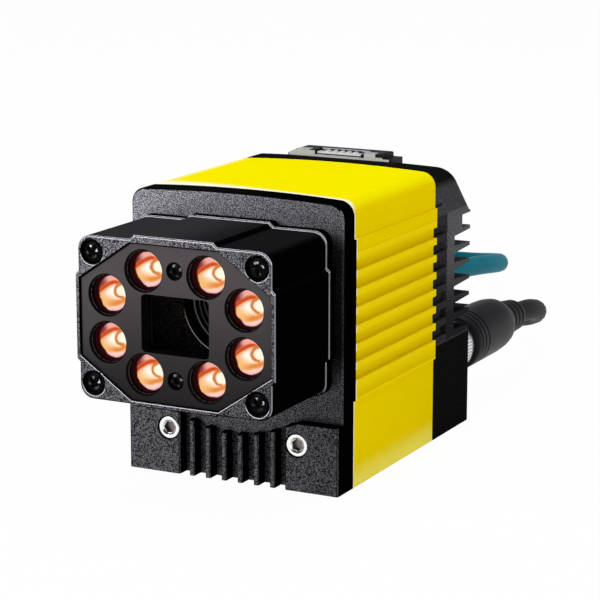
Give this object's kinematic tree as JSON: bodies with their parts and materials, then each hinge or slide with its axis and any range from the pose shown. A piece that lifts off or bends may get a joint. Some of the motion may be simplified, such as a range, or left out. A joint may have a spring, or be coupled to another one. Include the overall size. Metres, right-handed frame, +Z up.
{
  "type": "barcode reader",
  "caption": "Fixed-mount industrial barcode reader: yellow hood over a black finned case, a lamp ring head around a lens window, a top push button and screw-coupled cables.",
  "frame": {"origin": "middle of the mounting holes on the flat bottom face", "axes": "+X to the reader's right side as seen from the front, +Y from the lamps to the connectors, +Z up"},
  "size_m": [0.162, 0.3011, 0.0749],
  "materials": {
    "black_casting": "fine textured black powder coat",
    "mask_black": "smooth satin dark grey",
    "panel_black": "satin black",
    "yellow_cover": "gloss yellow paint on an aluminium extrusion",
    "bare_aluminium": "machined",
    "steel_screw": "bright steel",
    "black_screw": "black oxide",
    "lamp_clear": "clear moulded collimators lit red",
    "window_glass": "clear, coated",
    "lens_black": "black anodised",
    "board_green": "glass-fibre circuit board with green solder mask",
    "chip_black": "moulded package",
    "emitter_red": "lit red light-emitting diodes",
    "seal_rubber": "black elastomer",
    "brass_post": "turned",
    "nickel": "nickel-plated brass",
    "plug_black": "moulded black elastomer",
    "teal_jacket": "smooth teal jacket",
    "black_jacket": "smooth black jacket",
    "tie_black": "hook-and-loop strap",
    "jack_clear": "moulded plug body",
    "lead_mixed": "shrunk sleeve and insulated leads"
  },
  "bodies": {
    "reader": {"front_housing": "black_casting", "torch_housing": "black_casting", "rear_housing": "black_casting", "lamp_mask": "mask_black", "control_panel": "panel_black", "cover": "yellow_cover", "chassis": "bare_aluminium", "heat_spreader": "bare_aluminium", "case_screws": "steel_screw", "head_screws": "black_screw", "mask_screws": "black_screw", "lamp_lens_1": "lamp_clear", "lamp_lens_2": "lamp_clear", "lamp_lens_3": "lamp_clear", "lamp_lens_4": "lamp_clear", "lamp_lens_5": "lamp_clear", "lamp_lens_6": "lamp_clear", "lamp_lens_7": "lamp_clear", "lamp_lens_8": "lamp_clear", "window_pane": "window_glass", "front_element": "window_glass", "lens_ring": "lens_black", "lens_barrel": "lens_black", "lens_mount": "lens_black", "lamp_board": "board_green", "sensor_board": "board_green", "main_board": "board_green", "connector_board": "board_green", "processor": "chip_black", "image_sensor": "chip_black", "button_switch": "chip_black", "lamp_emitters": "emitter_red", "front_seal": "seal_rubber", "rear_seal": "seal_rubber", "head_seal": "seal_rubber", "board_standoffs": "brass_post", "ethernet_socket": "nickel", "signal_socket": "nickel", "ethernet_plug": "plug_black", "signal_plug": "plug_black", "ethernet_cable": "teal_jacket", "ethernet_coil": "teal_jacket", "signal_cable": "black_jacket", "signal_coil": "black_jacket", "ethernet_tie": "tie_black", "signal_tie": "tie_black", "network_jack": "jack_clear", "signal_leads": "lead_mixed"},
    "button": {"push_button": "panel_black"},
    "ethernet_coupling": {"ethernet_nut": "nickel"},
    "signal_coupling": {"signal_nut": "nickel"}
  },
  "joints": [
    {"name": "button_press", "type": "slide", "parent": "reader", "child": "button", "axis": [0, 0, -1], "range_m": [0, 0.0006], "stiffness_N_per_m": 1500},
    {"name": "ethernet_nut_turn", "type": "hinge", "parent": "reader", "child": "ethernet_coupling", "pos_m": [-0.02, 0.0474, 0.01795], "axis": [0, 1, 0], "continuous": true},
    {"name": "signal_nut_turn", "type": "hinge", "parent": "reader", "child": "signal_coupling", "pos_m": [0.02, 0.0474, 0.01795], "axis": [0, 1, 0], "continuous": true}
  ]
}
